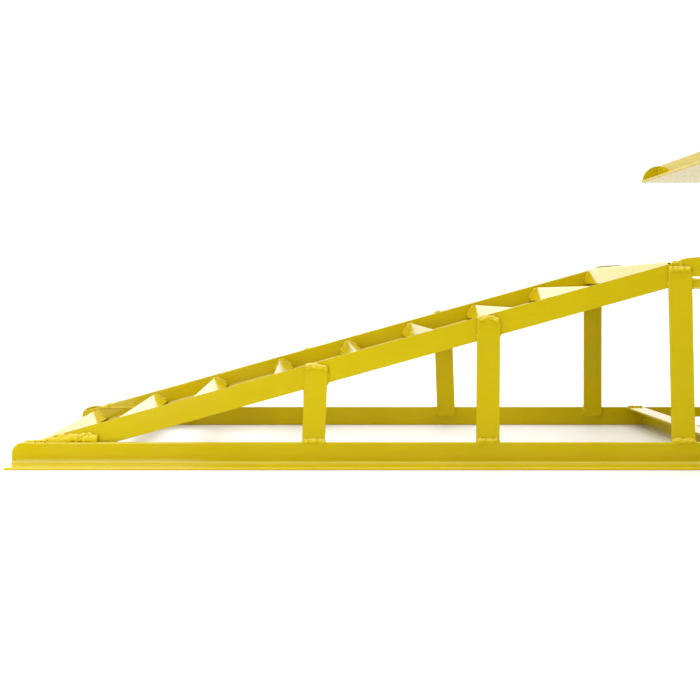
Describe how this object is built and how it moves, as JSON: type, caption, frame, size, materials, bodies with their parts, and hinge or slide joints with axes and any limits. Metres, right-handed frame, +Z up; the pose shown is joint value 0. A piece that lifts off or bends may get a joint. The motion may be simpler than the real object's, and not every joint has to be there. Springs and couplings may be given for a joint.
{
  "type": "hydraulic wheel ramp",
  "caption": "Welded angle-iron wheel ramp with inverted-V rungs and a wheel tray raised by a bottle jack between two telescopic guide columns.",
  "frame": {"origin": "bottom centre of the whole part, on the floor, midway along the base rails", "axes": "+X up the ramp from its low end to the tray, -Y the right-hand side, +Z up"},
  "size_m": [1.29, 0.374, 0.442],
  "materials": {
    "yellow_paint": "glossy enamel over welded mild steel",
    "zinc_plate": "bright zinc plate",
    "jack_paint": "semi-gloss black enamel on cast and turned steel",
    "hard_chrome": "ground and hard chromed",
    "plain_steel": "turned, oiled",
    "seal_rubber": "moulded nitrile"
  },
  "bodies": {
    "frame": {"base_rail_left": "yellow_paint", "base_rail_right": "yellow_paint", "column_braces": "yellow_paint", "filler_plug": "seal_rubber", "floor_stiffeners": "yellow_paint", "fulcrum_ears": "jack_paint", "fulcrum_pin": "zinc_plate", "guide_sleeve_left": "yellow_paint", "guide_sleeve_right": "yellow_paint", "jack_base": "jack_paint", "jack_bearer_front": "yellow_paint", "jack_bearer_rear": "yellow_paint", "jack_bolts": "zinc_plate", "jack_cap_nut": "jack_paint", "jack_cylinder": "plain_steel", "jack_floor_plate": "zinc_plate", "jack_nuts": "zinc_plate", "jack_reservoir": "jack_paint", "landing_plate": "yellow_paint", "landing_side_plates": "yellow_paint", "landing_tie_bar": "yellow_paint", "pin_bushes": "yellow_paint", "post_left_1": "yellow_paint", "post_left_2": "yellow_paint", "post_left_3": "yellow_paint", "post_right_1": "yellow_paint", "post_right_2": "yellow_paint", "post_right_3": "yellow_paint", "pump_barrel": "jack_paint", "ram_wiper_seal": "seal_rubber", "ramp_rail_left": "yellow_paint", "ramp_rail_right": "yellow_paint", "rung_1": "yellow_paint", "rung_2": "yellow_paint", "rung_3": "yellow_paint", "rung_4": "yellow_paint", "rung_5": "yellow_paint", "rung_6": "yellow_paint", "rung_7": "yellow_paint", "rung_8": "yellow_paint"},
    "tray": {"tray_plate": "yellow_paint", "tray_side_left": "yellow_paint", "tray_side_right": "yellow_paint", "tray_lip_low": "yellow_paint", "tray_lip_high": "yellow_paint", "tray_load_plate": "yellow_paint", "saddle_cup": "yellow_paint", "guide_leg_left": "yellow_paint", "guide_leg_right": "yellow_paint"},
    "ram": {"jack_ram": "hard_chrome", "piston_seal": "seal_rubber", "jack_saddle": "plain_steel"},
    "lever": {"pump_lever": "jack_paint"},
    "plunger": {"pump_plunger": "hard_chrome", "plunger_pin": "zinc_plate"},
    "valve": {"release_valve": "zinc_plate"},
    "pin_left": {"lock_pin_left": "zinc_plate", "pin_ring_left": "zinc_plate"},
    "pin_right": {"lock_pin_right": "zinc_plate", "pin_ring_right": "zinc_plate"}
  },
  "joints": [
    {"name": "tray_lift", "type": "slide", "parent": "frame", "child": "tray", "axis": [0, 0, 1], "range_m": [-0.15, 0]},
    {"name": "ram_lift", "type": "slide", "parent": "frame", "child": "ram", "axis": [0, 0, 1], "range_m": [-0.15, 0]},
    {"name": "lever_swing", "type": "hinge", "parent": "frame", "child": "lever", "pos_m": [0.531, 0, 0.104], "axis": [0, 1, 0], "range_deg": [-20, 20]},
    {"name": "plunger_stroke", "type": "slide", "parent": "frame", "child": "plunger", "axis": [0, 0, 1], "range_m": [-0.0066, 0.0066]},
    {"name": "valve_turn", "type": "hinge", "parent": "frame", "child": "valve", "pos_m": [0.537, -0.05, 0.039], "axis": [0, 1, 0], "range_deg": [0, 360]},
    {"name": "left_pin_slide", "type": "slide", "parent": "frame", "child": "pin_left", "axis": [-1, 0, 0], "range_m": [0, 0.042]},
    {"name": "right_pin_slide", "type": "slide", "parent": "frame", "child": "pin_right", "axis": [-1, 0, 0], "range_m": [0, 0.042]}
  ],
  "couplings": [
    {"joint": "ram_lift", "follows": "tray_lift", "ratio": 1},
    {"joint": "plunger_stroke", "follows": "lever_swing", "m_per_rad": -0.018}
  ]
}
